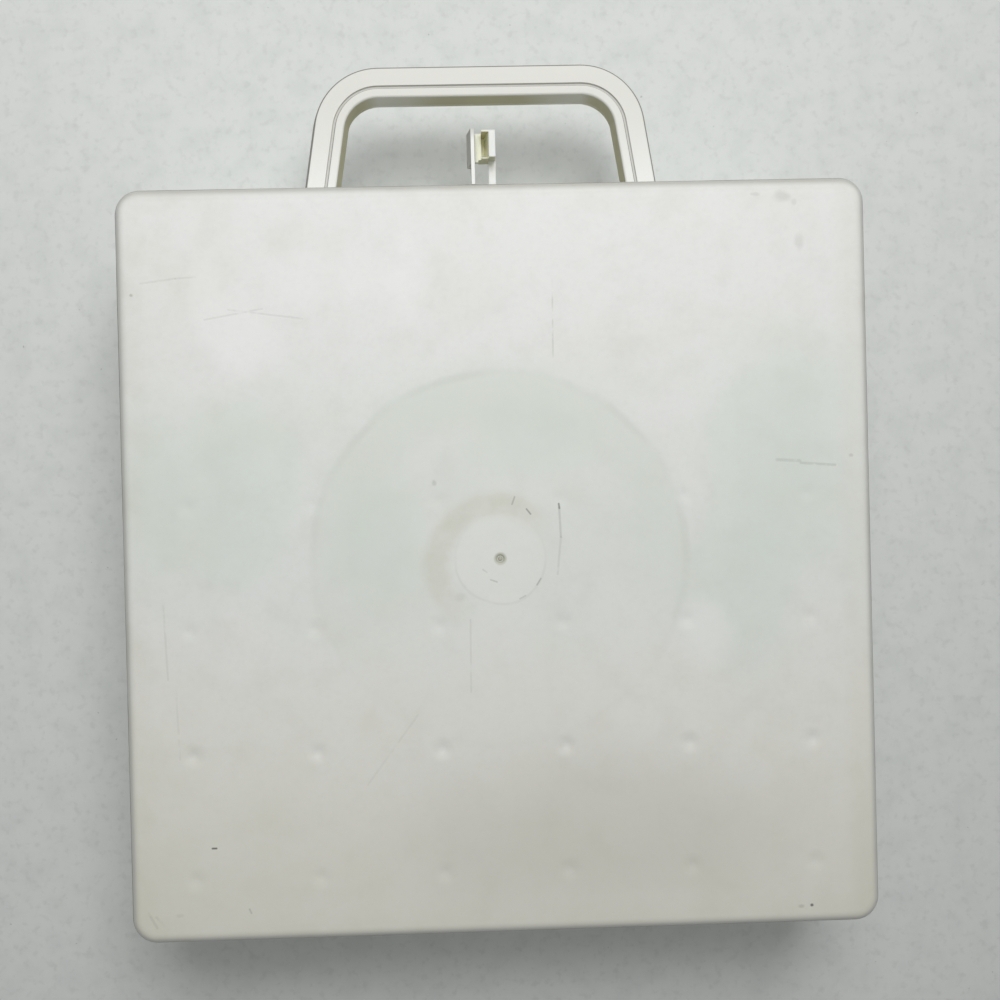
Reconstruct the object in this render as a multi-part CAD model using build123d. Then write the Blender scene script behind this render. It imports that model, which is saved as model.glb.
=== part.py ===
"""Two-part moulded carrying case for thread spools.

Two square trays close face to face and turn about two pinned hinges on one side. Each tray has a grid of
pegs that spools stand on, and one half of the carrying handle. A small swinging hook on the front tray
takes hold of a catch on the back tray, in the middle of the handle.

The case lies on its back. The origin is the centre of the back face, +X runs along the handle,
+Y runs from the hinges to the handle and +Z runs from the back tray to the front tray (the lid).
All sizes are in millimetres.
"""

import os
from math import atan, cos, degrees, pi, radians, sin, tan

from build123d import *

# Trays
case_width = 268.0
case_height = 268.0
tray_depth = 44.5
side_wall = 2.2
face_wall = 2.4
corner_radius = 9.5
face_edge_radius = 4.0
face_edge_steps = 3
floor_edge_chamfer = 1.6
wall_draft = 1.0

# Band round the rim of each tray, which stiffens it and carries the handle, hinges and latch
band_proud = 1.2
band_depth = 8.5
band_chamfer = 0.6
seam_chamfer = 0.35

# Tongue on the back tray, which lies in a rebate in the lid's rim
tongue_thickness = 1.0
tongue_depth = 2.5
tongue_side_gap = 0.3
tongue_end_gap = 0.4

# Mark that the moulding gate leaves in the middle of the lid's face
gate_radius = 1.6
gate_depth = 0.7
gate_stub_radius = 0.7
gate_stub_depth = 0.45

# Spool pegs, with flats for the sides of a round shaft
peg_sides = 8
peg_columns = 6
peg_rows = 6
peg_pitch = 44.0
peg_grid_shift_y = -1.0
peg_radius = 3.0
peg_length = 30.0
peg_tip_length = 2.4
peg_tip_radius = 1.6

# Handle, as an outline at the seam that tapers towards the outer face. It stands a little left of the middle
handle_centre_x = -2.6
handle_base_half_width = 68.0
handle_reach = 50.5
handle_lean = 8.9
handle_outer_radius = 25.5
handle_bar_width = 13.6
handle_half_depth = 8.0
handle_draft = 9.0
handle_wall = 2.2
handle_edge_chamfer = 0.8
handle_groove_inset = 8.05
handle_groove_width = 1.1
handle_groove_depth = 0.8
handle_rib_thickness = 1.4
handle_bar_rib_pitch = 22.0
handle_bar_rib_count = 3
handle_leg_rib_height = 18.0

# Hinges
hinge_inset = 56.0
hinge_pin_radius = 1.5
hinge_pin_head_radius = 2.5
hinge_pin_head_length = 1.2
knuckle_radius = 3.6
knuckle_length = 11.0
knuckle_end_gap = 0.4
knuckle_band_gap = 0.25
pin_held_clearance = 0.02
pin_running_clearance = 0.06

# Latch: the hook swings about a pin on the lid
hook_thickness = 1.4
hook_centre_x = -5.6
hook_reach = 26.4
hook_foot_start = 11.8
hook_foot_depth = 7.0
hook_tip_chamfer_length = 5.7
hook_tip_chamfer_depth = 2.6
hook_shoulder_gap = 0.35
thumb_pad_width = 1.4
thumb_pad_slope = 11.0
thumb_pad_length = 13.2
thumb_pad_drop = 2.8
latch_pin_radius = 0.8
latch_pin_head_radius = 1.3
latch_pin_head_length = 0.8
latch_pin_offset = 2.3
latch_eye_radius = 1.7
latch_lug_radius = 2.0
latch_lug_thickness = 1.5
latch_side_clearance = 0.2

# Catch on the back tray: a post that carries a head with a lip
catch_post_width = 2.8
catch_post_depth = 5.5
catch_head_step = 0.2
catch_head_width = 6.4
catch_head_start = 15.6
catch_head_reach = 25.8
catch_head_depth = 7.6
catch_cheek_width = 2.5
catch_cheek_rise = 6.4
catch_cheek_slope = 1.4
catch_end_slope = 2.8
catch_end_top = 0.4
catch_end_drop = 3.4
catch_far_wall = 0.7
catch_pocket_wall = 1.2
catch_pocket_floor = 1.5
catch_lip_reach = 1.3
catch_lip_thickness = 2.2
catch_lip_overhang = 0.8
catch_lip_gap = 0.3
catch_window_gap = 0.6

# Places worked out from the sizes
seam_z = tray_depth
case_depth = 2 * tray_depth
seam_plane = Plane.XY.offset(seam_z)
band_y = case_height / 2 + band_proud
hinge_y = -(band_y + knuckle_band_gap + knuckle_radius)
hook_pivot_y = band_y + latch_pin_offset
latch_lug_low_z = seam_z + latch_side_clearance
latch_lug_high_z = seam_z + band_depth


def to_lid(part):
    """The same piece on the lid: its mirror image in the seam."""
    return mirror(part, about=seam_plane)


def rounded_slab(grow, top_z, depth, draft=0.0):
    """A slab with the case's outline grown by a distance, going down from top_z and narrowing by a draft."""
    outline = RectangleRounded(case_width + 2 * grow, case_height + 2 * grow, corner_radius + grow)
    return extrude(Pos(0, 0, top_z) * outline, amount=depth, dir=(0, 0, -1), taper=draft)


def tray_blank():
    """The outside of a tray without its band, as a stack of outlines: drafted walls and a rounded face edge."""
    draft = radians(wall_draft)
    edge_depth = tray_depth - face_edge_radius
    edge_inset = edge_depth * tan(draft) + face_edge_radius / cos(draft)
    angles = [draft + (pi / 2 - draft) * step / face_edge_steps for step in range(face_edge_steps + 1)]
    stack = [(0, 0)]
    stack += [(edge_inset - face_edge_radius * cos(a), edge_depth + face_edge_radius * sin(a)) for a in angles]
    outlines = [Pos(0, 0, seam_z - depth)
                * RectangleRounded(case_width - 2 * inset, case_height - 2 * inset, corner_radius - inset)
                for inset, depth in stack]
    return loft([outline.face() for outline in outlines], ruled=True)


def tray_shell():
    """An open tray with a rounded face edge, drafted walls and a band round its rim."""
    band = rounded_slab(band_proud, seam_z, band_depth)
    band = chamfer(band.faces().sort_by(Axis.Z)[0].edges(), band_chamfer)
    band = chamfer(band.faces().sort_by(Axis.Z)[-1].edges(), seam_chamfer)
    hollow = rounded_slab(-side_wall, seam_z, tray_depth - face_wall, wall_draft)
    hollow = chamfer(hollow.faces().sort_by(Axis.Z)[0].edges(), floor_edge_chamfer)
    return tray_blank() + band - hollow


def rim_slab(end_gap=0.0, side_gap=0.0):
    """A slab on the seam as large as the tongue, or with its gaps as the rebate that the tongue lies in."""
    height = tongue_depth + end_gap
    return rounded_slab(tongue_thickness - side_wall + side_gap, seam_z + height, height)


def base_shell():
    """The back tray, with the tongue on its rim."""
    tongue = rim_slab() - rounded_slab(-side_wall, seam_z + tongue_depth, tongue_depth)
    return tray_shell() + tongue


def lid_shell():
    """The front tray, with a rebate for the tongue and the moulding gate's dimple and stub on its face."""
    dimple_floor = Pos(0, 0, case_depth - gate_depth)
    upright = (Align.CENTER, Align.CENTER, Align.MIN)
    dimple = dimple_floor * Cylinder(gate_radius, gate_depth, align=upright)
    stub = dimple_floor * Cylinder(gate_stub_radius, gate_stub_depth, align=upright)
    return to_lid(tray_shell()) - rim_slab(tongue_end_gap, tongue_side_gap) - dimple + stub


def spool_peg():
    """One peg on the tray's floor: a shaft with a tapered tip."""
    section = RegularPolygon(peg_radius, peg_sides)
    shaft_length = peg_length - peg_tip_length
    tip_taper = degrees(atan((peg_radius - peg_tip_radius) * cos(pi / peg_sides) / peg_tip_length))
    shaft = extrude(Pos(0, 0, face_wall) * section, amount=shaft_length)
    return shaft + extrude(Pos(0, 0, face_wall + shaft_length) * section, amount=peg_tip_length, taper=tip_taper)


def peg_row(row):
    """One row of pegs, each a solid of its own. Row 0 is next to the hinges."""
    peg = spool_peg()
    row_y = peg_grid_shift_y + (row - (peg_rows - 1) / 2) * peg_pitch
    columns = [(column - (peg_columns - 1) / 2) * peg_pitch for column in range(peg_columns)]
    return Compound(children=[Pos(x, row_y, 0) * peg for x in columns])


def handle_outline(inset):
    """The handle's outline at the seam, drawn in by a distance and closed below the case's edge."""
    lean = radians(handle_lean)
    root_y = band_y - side_wall
    top_y = band_y + handle_reach - inset
    base_half = handle_base_half_width - inset / cos(lean)
    root_half = base_half + (band_y - root_y) * tan(lean)
    top_half = base_half - (top_y - band_y) * tan(lean)
    corners = [(-root_half, root_y), (-top_half, top_y), (top_half, top_y), (root_half, root_y)]
    outline = make_face(Polyline(*corners, close=True))
    return fillet(outline.vertices().group_by(Axis.Y)[-1], handle_outer_radius - inset)


def handle_prism(inset, draft, depth):
    """The drawn-in outline as a block under the seam that narrows by a draft, or widens by a negative one."""
    return extrude(Pos(0, 0, seam_z) * handle_outline(inset), amount=depth, dir=(0, 0, -1), taper=draft)


def handle_ribs():
    """Cross ribs in the handle's channel, as plates that are cut to the channel."""
    reach = handle_reach + side_wall
    middle = (handle_bar_rib_count - 1) / 2
    xs = [(i - middle) * handle_bar_rib_pitch for i in range(handle_bar_rib_count)]
    centre_y = band_y + reach / 2
    upright = [Pos(x, centre_y, seam_z) * Box(handle_rib_thickness, reach, case_depth) for x in xs]
    level_y = band_y + handle_leg_rib_height
    level = Pos(0, level_y, seam_z) * Box(case_width, handle_rib_thickness, case_depth)
    return upright + [level]


def base_handle_half():
    """The back tray's half of the handle: a channel with ribs, open at the seam, and a groove on its face."""
    outer = handle_prism(0, handle_draft, handle_half_depth)
    outer = chamfer(outer.faces().sort_by(Axis.Z)[0].edges(), handle_edge_chamfer)
    inner = handle_prism(handle_bar_width, -handle_draft, handle_half_depth)
    half = outer - inner
    channel_depth = handle_half_depth - handle_wall
    channel = handle_prism(handle_wall, handle_draft / 2, channel_depth)
    channel -= handle_prism(handle_bar_width - handle_wall, -handle_draft / 2, channel_depth)
    for rib in handle_ribs():
        channel -= rib
    face_z = seam_z - handle_half_depth
    groove_far = handle_groove_inset + handle_groove_width
    groove = handle_outline(handle_groove_inset) - handle_outline(groove_far)
    groove = extrude(Pos(0, 0, face_z) * groove, amount=handle_groove_depth)
    below_edge = (Align.CENTER, Align.MAX, Align.CENTER)
    root = Pos(0, band_y, seam_z) * Box(case_width, case_height, case_depth, align=below_edge)
    return Pos(handle_centre_x, 0, 0) * (half - channel - groove - root)


def knuckle_profile():
    """A hinge knuckle seen along its pin: a barrel on a short web that meets the back tray's band."""
    barrel = Pos(hinge_y, seam_z) * Circle(knuckle_radius)
    web_length = -band_y - hinge_y
    web_top = seam_z - knuckle_band_gap
    web_depth = knuckle_radius - knuckle_band_gap
    web = Pos(hinge_y, web_top) * Rectangle(web_length, web_depth, align=(Align.MIN, Align.MAX))
    return barrel + web


def knuckle(centre_x, clearance):
    """One knuckle of the back tray at a place along the hinge, bored for the pin."""
    bore = Pos(hinge_y, seam_z) * Circle(hinge_pin_radius + clearance)
    profile = Plane.YZ.offset(centre_x) * (knuckle_profile() - bore)
    return extrude(profile, amount=knuckle_length / 2, both=True)


def hinge_centres():
    """Where the two hinges stand along the case."""
    return (hinge_inset - case_width / 2, case_width / 2 - hinge_inset)


def base_hinge_knuckles():
    """The back tray's knuckles: two at each hinge, one on each side of the lid's."""
    step = knuckle_length + knuckle_end_gap
    places = [x + side * step for x in hinge_centres() for side in (-1, 1)]
    return Compound(children=[knuckle(x, pin_held_clearance) for x in places])


def lid_hinge_knuckles():
    """The lid's knuckles: the middle one of each hinge."""
    return Compound(children=[to_lid(knuckle(x, pin_running_clearance)) for x in hinge_centres()])


def hinge_pin(side):
    """A pin through one hinge's three knuckles, with its head at the outer end."""
    half_length = 1.5 * knuckle_length + knuckle_end_gap
    centre = side * (case_width / 2 - hinge_inset)
    axis_plane = Plane(origin=(centre, hinge_y, seam_z), x_dir=(0, 1, 0), z_dir=(side, 0, 0))
    shank = extrude(axis_plane * Circle(hinge_pin_radius), amount=half_length, both=True)
    head = extrude(axis_plane.offset(half_length) * Circle(hinge_pin_head_radius), amount=hinge_pin_head_length)
    return shank + chamfer(head.faces().sort_by(Axis.X)[-1 if side > 0 else 0].edges(), hinge_pin_head_length / 2)


def box_between(low, high):
    """A block between two opposite corners."""
    size = [b - a for a, b in zip(low, high)]
    centre = [(a + b) / 2 for a, b in zip(low, high)]
    return Pos(*centre) * Box(*size)


def catch_pocket(left, right, near_y, far_y, low_z, wall_z, top_z):
    """The hollow in the catch's head: its cheek side slopes in downwards, and its near end is a ramp."""
    points = [(left, low_z), (right - catch_cheek_slope, low_z), (right, top_z), (left - catch_pocket_wall, top_z),
              (left - catch_pocket_wall, wall_z), (left, wall_z)]
    profile = Plane.XZ.offset(-far_y) * make_face(Polyline(*points, close=True))
    ramp_points = [(near_y, low_z), (near_y + catch_end_slope, low_z),
                   (near_y + catch_end_top, top_z - catch_end_drop), (near_y, top_z - catch_end_drop)]
    ramp = Plane.YZ.offset(left) * make_face(Polyline(*ramp_points, close=True))
    return extrude(profile, amount=far_y - near_y) - extrude(ramp, amount=right - left)


def base_latch_catch():
    """The catch on the back tray: a post, and a cored head with a cheek and a lip for the hook."""
    low_z = seam_z - band_depth
    head_left = hook_centre_x + hook_thickness / 2 + catch_lip_gap + catch_lip_reach
    head_right = head_left + catch_head_width
    post_right = head_right + catch_head_step
    post_low = (post_right - catch_post_width, band_y, low_z)
    post_high = (post_right, band_y + catch_head_start, low_z + catch_post_depth)
    near_y = band_y + catch_head_start
    far_y = band_y + catch_head_reach
    head_top = low_z + catch_head_depth
    cheek_left = head_right - catch_cheek_width
    cheek_top = head_top + catch_cheek_rise
    pocket_left = head_left + catch_pocket_wall
    lip_low = (head_left - catch_lip_reach, near_y - catch_lip_overhang, head_top - catch_lip_thickness)
    head = box_between((head_left, near_y, low_z), (head_right, far_y, cheek_top))
    head -= box_between((head_left, near_y, head_top), (pocket_left, far_y, cheek_top))
    head -= catch_pocket(pocket_left, cheek_left, near_y, far_y - catch_far_wall,
                         low_z + catch_pocket_floor, head_top, cheek_top)
    head -= box_between((pocket_left, near_y, cheek_top - catch_end_drop), (cheek_left, near_y + 1, cheek_top))
    return head + box_between(post_low, post_high) + box_between(lip_low, (head_left, far_y, head_top))


def latch_lug(low_z):
    """A round-ended lug on the lid's band, bored for the latch pin."""
    from_band = (Align.CENTER, Align.MIN)
    arm = Pos(hook_centre_x, band_y) * Rectangle(2 * latch_lug_radius, latch_pin_offset, align=from_band)
    end = Pos(hook_centre_x, hook_pivot_y) * Circle(latch_lug_radius)
    bore = Pos(hook_centre_x, hook_pivot_y) * Circle(latch_pin_radius + pin_held_clearance)
    return extrude(Pos(0, 0, low_z) * (arm + end - bore), amount=latch_lug_thickness)


def lid_latch_lugs():
    """The two lugs that hold the latch pin, one at each edge of the lid's band."""
    return Compound(children=[latch_lug(latch_lug_low_z), latch_lug(latch_lug_high_z - latch_lug_thickness)])


def latch_pin():
    """The upright pin that the hook swings on, with a round head."""
    length = latch_lug_high_z - latch_lug_low_z
    upright = (Align.CENTER, Align.CENTER, Align.MIN)
    shank = Pos(hook_centre_x, hook_pivot_y, latch_lug_low_z) * Cylinder(latch_pin_radius, length, align=upright)
    head = Cylinder(latch_pin_head_radius, latch_pin_head_length, align=upright)
    return shank + Pos(hook_centre_x, hook_pivot_y, latch_lug_high_z) * head


def hook_profile():
    """The hook's flat plate seen from the side, in Y and Z, with the slot that takes the catch's lip."""
    eye_low = latch_lug_low_z + latch_lug_thickness + latch_side_clearance
    eye_high = latch_lug_high_z - latch_lug_thickness - latch_side_clearance
    shoulder_y = hook_pivot_y + latch_lug_radius + hook_shoulder_gap
    tip_y = band_y + hook_reach
    foot_y = band_y + hook_foot_start
    chamfer_y = tip_y - hook_tip_chamfer_length
    tip_high = latch_lug_high_z - hook_tip_chamfer_depth
    points = [(hook_pivot_y, eye_low), (shoulder_y, eye_low), (shoulder_y, latch_lug_low_z),
              (foot_y, latch_lug_low_z), (foot_y, seam_z - hook_foot_depth), (tip_y, seam_z - hook_foot_depth),
              (tip_y, tip_high), (chamfer_y, latch_lug_high_z), (shoulder_y, latch_lug_high_z),
              (shoulder_y, eye_high), (hook_pivot_y, eye_high)]
    plate = make_face(Polyline(*points, close=True))
    lip_top = seam_z - band_depth + catch_head_depth
    window_low = (band_y + catch_head_start - catch_lip_overhang - catch_window_gap,
                  lip_top - catch_lip_thickness - catch_lip_gap)
    window_size = (tip_y - window_low[0], catch_lip_thickness + 2 * catch_lip_gap)
    window = Pos(*window_low) * Rectangle(*window_size, align=(Align.MIN, Align.MIN))
    return plate - window


def thumb_pad():
    """A wedge on the hook's outer side for a thumb to push, thicker towards the back."""
    left = hook_centre_x - hook_thickness / 2
    high = latch_lug_high_z - thumb_pad_drop
    low = high - thumb_pad_slope
    profile = Polyline((left, high), (left - thumb_pad_width, low), (left, low), close=True)
    pad_end_y = band_y + hook_reach
    return extrude(Plane.XZ.offset(-pad_end_y) * make_face(profile), amount=thumb_pad_length)


def latch_hook():
    """The swinging hook: an eye on the pin, a thin upright plate with a slot, and a thumb pad."""
    eye_low = latch_lug_low_z + latch_lug_thickness + latch_side_clearance
    eye_high = latch_lug_high_z - latch_lug_thickness - latch_side_clearance
    plate = extrude(Plane.YZ.offset(hook_centre_x) * hook_profile(), amount=hook_thickness / 2, both=True)
    upright = (Align.CENTER, Align.CENTER, Align.MIN)
    at_eye = Pos(hook_centre_x, hook_pivot_y, eye_low)
    eye = at_eye * Cylinder(latch_eye_radius, eye_high - eye_low, align=upright)
    bore = at_eye * Cylinder(latch_pin_radius + pin_running_clearance, eye_high - eye_low, align=upright)
    return plate + eye + thumb_pad() - bore


def assembly():
    """Every piece by the name of its file."""
    pieces = {
        "base_shell": base_shell(),
        "lid_shell": lid_shell(),
        "base_handle_half": base_handle_half(),
        "lid_handle_half": to_lid(base_handle_half()),
        "base_hinge_knuckles": base_hinge_knuckles(),
        "lid_hinge_knuckles": lid_hinge_knuckles(),
        "hinge_pin_left": hinge_pin(-1),
        "hinge_pin_right": hinge_pin(1),
        "base_latch_catch": base_latch_catch(),
        "lid_latch_lugs": lid_latch_lugs(),
        "latch_pin": latch_pin(),
        "latch_hook": latch_hook(),
    }
    for row in range(peg_rows):
        pegs = peg_row(row)
        pieces[f"base_peg_row_{row + 1}"] = pegs
        pieces[f"lid_peg_row_{row + 1}"] = Compound(children=[to_lid(peg) for peg in pegs.solids()])
    return pieces


os.makedirs("parts", exist_ok=True)
for name, piece in assembly().items():
    export_step(piece, f"parts/{name}.step")
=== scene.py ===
"""A moulded thread spool storage box lying flat: ivory trays, hinges, carry handle, latch and spool pegs."""

import logging
from dataclasses import dataclass, field
from enum import Enum
from math import cos, pi, radians, sin, tan
from typing import Callable, Optional, Sequence, Union

import bmesh
import bpy
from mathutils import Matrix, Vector

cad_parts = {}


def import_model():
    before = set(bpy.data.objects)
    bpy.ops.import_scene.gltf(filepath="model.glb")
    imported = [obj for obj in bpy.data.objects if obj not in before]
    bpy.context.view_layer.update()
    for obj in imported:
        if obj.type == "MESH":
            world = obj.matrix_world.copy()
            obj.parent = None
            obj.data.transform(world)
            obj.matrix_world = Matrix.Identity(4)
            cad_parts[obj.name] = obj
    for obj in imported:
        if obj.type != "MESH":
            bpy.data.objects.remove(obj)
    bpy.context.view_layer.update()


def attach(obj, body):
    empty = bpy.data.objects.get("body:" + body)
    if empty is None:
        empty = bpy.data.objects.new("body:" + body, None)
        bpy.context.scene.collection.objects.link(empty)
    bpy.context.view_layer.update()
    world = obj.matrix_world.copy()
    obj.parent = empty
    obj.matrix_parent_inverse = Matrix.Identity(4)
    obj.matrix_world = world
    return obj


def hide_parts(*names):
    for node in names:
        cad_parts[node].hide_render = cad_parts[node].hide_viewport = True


logging.basicConfig(level=logging.INFO, format="%(levelname)s %(message)s")
log = logging.getLogger("spool_case")

MM = 0.001
IVORY_SLOT = "ivory_polypropylene"
STEEL_SLOT = "steel_pin"
FOUR_WAYS = ((1, 0, 0), (-1, 0, 0), (0, 1, 0), (0, -1, 0))

Point = tuple[float, float, float]
Test = Callable[[Vector, object], bool]
Value = Union[float, int, Sequence[float], bpy.types.NodeSocket]


class Element(Enum):
    """What a selection is made of."""

    VERTEX = "VERT"
    EDGE = "EDGE"
    FACE = "FACE"


class Side(Enum):
    """Which tray a piece belongs to, and the body that it rides on."""

    BACK = "base"
    FRONT = "lid"


# ---------------------------------------------------------------- modelling bench


class Workpiece:
    """One mesh on the bench, shaped in edit mode with Blender's operators, at sizes in millimetres."""

    def __init__(self, name: str) -> None:
        """Takes up the mesh that an operator has just made.

        Args:
            name: What the piece is called.
        """
        self.object = bpy.context.active_object
        self.rename(name)
        bpy.ops.object.transform_apply(location=True, rotation=True, scale=True)

    @staticmethod
    def clear_bench() -> None:
        """Leaves edit mode and deselects everything."""
        if bpy.context.mode != "OBJECT":
            bpy.ops.object.mode_set(mode="OBJECT")
        bpy.ops.object.select_all(action="DESELECT")

    @classmethod
    def plate(
        cls, name: str, width: float, length: float, centre: Point, turn: Point = (0, 0, 0)
    ) -> "Workpiece":
        """Starts a piece from a rectangle.

        Args:
            name: What the piece is called.
            width: Size along its own X.
            length: Size along its own Y.
            centre: Where its middle is.
            turn: Its turn about X, Y and Z, in radians.
        Returns:
            The piece, with its place in its mesh.
        """
        cls.clear_bench()
        bpy.ops.mesh.primitive_plane_add(size=1, location=Vector(centre) * MM, rotation=turn)
        bpy.context.active_object.scale = (width * MM, length * MM, 1)
        return cls(name)

    @classmethod
    def disc(cls, name: str, radius: float, sides: int, centre: Point) -> "Workpiece":
        """Starts a piece from a flat round face.

        Args:
            name: What the piece is called.
            radius: The disc's radius.
            sides: How many sides stand for its circle.
            centre: Where its middle is.
        Returns:
            The piece, with its place in its mesh.
        """
        cls.clear_bench()
        bpy.ops.mesh.primitive_circle_add(
            vertices=sides, radius=radius * MM, fill_type="NGON", location=Vector(centre) * MM
        )
        return cls(name)

    @classmethod
    def rod(cls, name: str, radius: float, length: float, sides: int, foot: Point) -> "Workpiece":
        """Starts a piece from an upright cylinder.

        Args:
            name: What the piece is called.
            radius: Its radius.
            length: Its length along Z.
            sides: How many sides stand for its circle.
            foot: The middle of its lower end.
        Returns:
            The piece, with its place in its mesh.
        """
        cls.clear_bench()
        centre = Vector(foot) + Vector((0, 0, length / 2))
        bpy.ops.mesh.primitive_cylinder_add(
            vertices=sides, radius=radius * MM, depth=length * MM, location=centre * MM
        )
        return cls(name)

    @classmethod
    def from_node(cls, name: str, node: str) -> "Workpiece":
        """Starts a piece from a copy of a CAD node's mesh, with its loose triangles merged.

        Args:
            name: What the piece is called.
            node: The node's name.
        Returns:
            The piece, whose flat faces are single polygons.
        """
        cls.clear_bench()
        source = bpy.data.objects[node]
        copy = bpy.data.objects.new(name, source.data.copy())
        bpy.context.scene.collection.objects.link(copy)
        copy.matrix_world = source.matrix_world.copy()
        copy.data.materials.clear()
        copy.select_set(True)
        bpy.context.view_layer.objects.active = copy
        piece = cls(name)
        piece.edit_all()
        bpy.ops.mesh.remove_doubles(threshold=0.002 * MM)
        bpy.ops.mesh.dissolve_limited(angle_limit=radians(0.5))
        piece.leave()
        if piece.object.data.has_custom_normals:
            bpy.ops.mesh.customdata_custom_splitnormals_clear()
        return piece

    def rename(self, name: str) -> None:
        """Gives the object and its mesh a name."""
        self.object.name = name
        self.object.data.name = name

    def take_up(self) -> None:
        """Selects this piece alone, in object mode."""
        self.clear_bench()
        self.object.select_set(True)
        bpy.context.view_layer.objects.active = self.object

    def edit(self) -> None:
        """Takes the piece up and enters edit mode."""
        self.take_up()
        bpy.ops.object.mode_set(mode="EDIT")

    def edit_all(self) -> None:
        """Enters edit mode with the whole piece selected."""
        self.edit()
        bpy.ops.mesh.select_all(action="SELECT")

    def leave(self) -> None:
        """Leaves edit mode."""
        bpy.ops.object.mode_set(mode="OBJECT")

    def pick(self, kind: Element, test: Test) -> None:
        """Selects the elements that pass a test, and nothing else.

        Args:
            kind: What is selected.
            test: Takes an element's centre and the element, and says whether it is wanted.
        """
        bpy.ops.mesh.select_mode(type=kind.value)
        bpy.ops.mesh.select_all(action="DESELECT")
        mesh = bmesh.from_edit_mesh(self.object.data)
        elements = {Element.VERTEX: mesh.verts, Element.EDGE: mesh.edges, Element.FACE: mesh.faces}[kind]
        for element in elements:
            if kind is Element.VERTEX:
                centre = element.co
            elif kind is Element.EDGE:
                centre = (element.verts[0].co + element.verts[1].co) / 2
            else:
                centre = element.calc_center_median()
            if test(centre / MM, element):
                element.select_set(True)
        mesh.select_flush(True)
        bmesh.update_edit_mesh(self.object.data)

    def inset(self, thickness: float, rise: float = 0.0) -> None:
        """Insets what is selected, and raises it along its normal."""
        bpy.ops.mesh.inset(thickness=max(thickness, 0.0) * MM, depth=rise * MM, use_even_offset=True)

    def extrude(self, step: Point) -> None:
        """Extrudes what is selected along a step."""
        bpy.ops.mesh.extrude_region_move(TRANSFORM_OT_translate={"value": Vector(step) * MM})

    def spin(self, angle: float, steps: int, centre: Point, axis: Point) -> None:
        """Sweeps what is selected round an axis.

        Args:
            angle: How far, in radians.
            steps: How many segments the arc gets.
            centre: A point on the axis.
            axis: The axis's direction.
        """
        bpy.ops.mesh.spin(steps=steps, angle=angle, center=Vector(centre) * MM, axis=axis)

    def scale(self, factors: Point, centre: Point) -> None:
        """Scales what is selected about a point."""
        bpy.ops.transform.resize(value=factors, center_override=Vector(centre) * MM)

    def cut(self, point: Point, normal: Point, drop: bool = False, fill: bool = False) -> None:
        """Cuts the whole piece along a plane.

        Args:
            point: A point on the plane.
            normal: The plane's normal.
            drop: Whether what lies on the normal's side goes.
            fill: Whether the cut gets a face.
        """
        bpy.ops.mesh.select_all(action="SELECT")
        bpy.ops.mesh.bisect(
            plane_co=Vector(point) * MM, plane_no=normal, clear_outer=drop, use_fill=fill, threshold=1e-7
        )

    def mend(self) -> None:
        """Merges doubled vertices and turns every normal outwards."""
        bpy.ops.mesh.select_all(action="SELECT")
        bpy.ops.mesh.remove_doubles(threshold=0.002 * MM)
        bpy.ops.mesh.normals_make_consistent(inside=False)

    def take_in(self, others: Sequence["Workpiece"]) -> None:
        """Joins other pieces into this one.

        Args:
            others: The pieces, which are used up.
        """
        self.take_up()
        for other in others:
            other.object.select_set(True)
        bpy.ops.object.join()

    def copy(self, name: str, step: Point) -> "Workpiece":
        """A copy with a mesh of its own, moved by a step.

        Args:
            name: What the copy is called.
            step: How far it is moved.
        Returns:
            The copy, with its place in its mesh.
        """
        self.take_up()
        bpy.ops.object.duplicate(linked=False)
        bpy.ops.transform.translate(value=Vector(step) * MM)
        return Workpiece(name)

    def modify(self, kind: str, **settings: object) -> None:
        """Adds a modifier and applies it.

        Args:
            kind: The modifier's type.
            settings: Its values.
        """
        self.take_up()
        modifier = self.object.modifiers.new(kind.title(), kind)
        for key, value in settings.items():
            setattr(modifier, key, value)
        bpy.ops.object.modifier_apply(modifier=modifier.name)

    def soften(self, width: float, angle: float = 40.0, segments: int = 2) -> None:
        """Rounds every edge that is sharper than an angle.

        Args:
            width: How far the rounding reaches from the edge.
            angle: The least angle between two faces, in degrees.
            segments: How many faces stand for the rounding.
        """
        self.modify(
            "BEVEL",
            width=width * MM,
            segments=segments,
            limit_method="ANGLE",
            angle_limit=radians(angle),
            use_clamp_overlap=True,
        )

    def smooth(self, angle: float = 35.0) -> None:
        """Shades the piece smooth, but for its sharp edges, and keeps its flat faces flat.

        Args:
            angle: The least angle of a sharp edge, in degrees.
        """
        self.take_up()
        bpy.ops.object.shade_smooth_by_angle(angle=radians(angle))
        self.modify("WEIGHTED_NORMAL", keep_sharp=True, weight=50)

    def put_on(self, side: Side, seam: float) -> None:
        """Moves a piece drawn above the seam at height 0 to its tray.

        Args:
            side: The tray. The back tray's pieces are mirror images, pointing down.
            seam: The seam's height.
        """
        self.edit_all()
        if side is Side.BACK:
            self.scale((1, 1, -1), (0, 0, 0))
            bpy.ops.mesh.normals_make_consistent(inside=False)
        bpy.ops.transform.translate(value=(0, 0, seam * MM))
        self.leave()

    def finish(self, body: str, slot: str, material: bpy.types.Material, nodes: Sequence[str]) -> None:
        """Dresses the piece and gives it its place in the assembly.

        Args:
            body: The body that it rides on.
            slot: Not used.
            material: Its material.
            nodes: The CAD nodes that it stands for.
        """
        self.clear_bench()
        self.object.data.materials.clear()
        self.object.data.materials.append(material)
        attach(self.object, body)
        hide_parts(*nodes)
        log.info("%s: %d faces, rides on %s", self.object.name, len(self.object.data.polygons), body)


# ---------------------------------------------------------------- finishes


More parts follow.
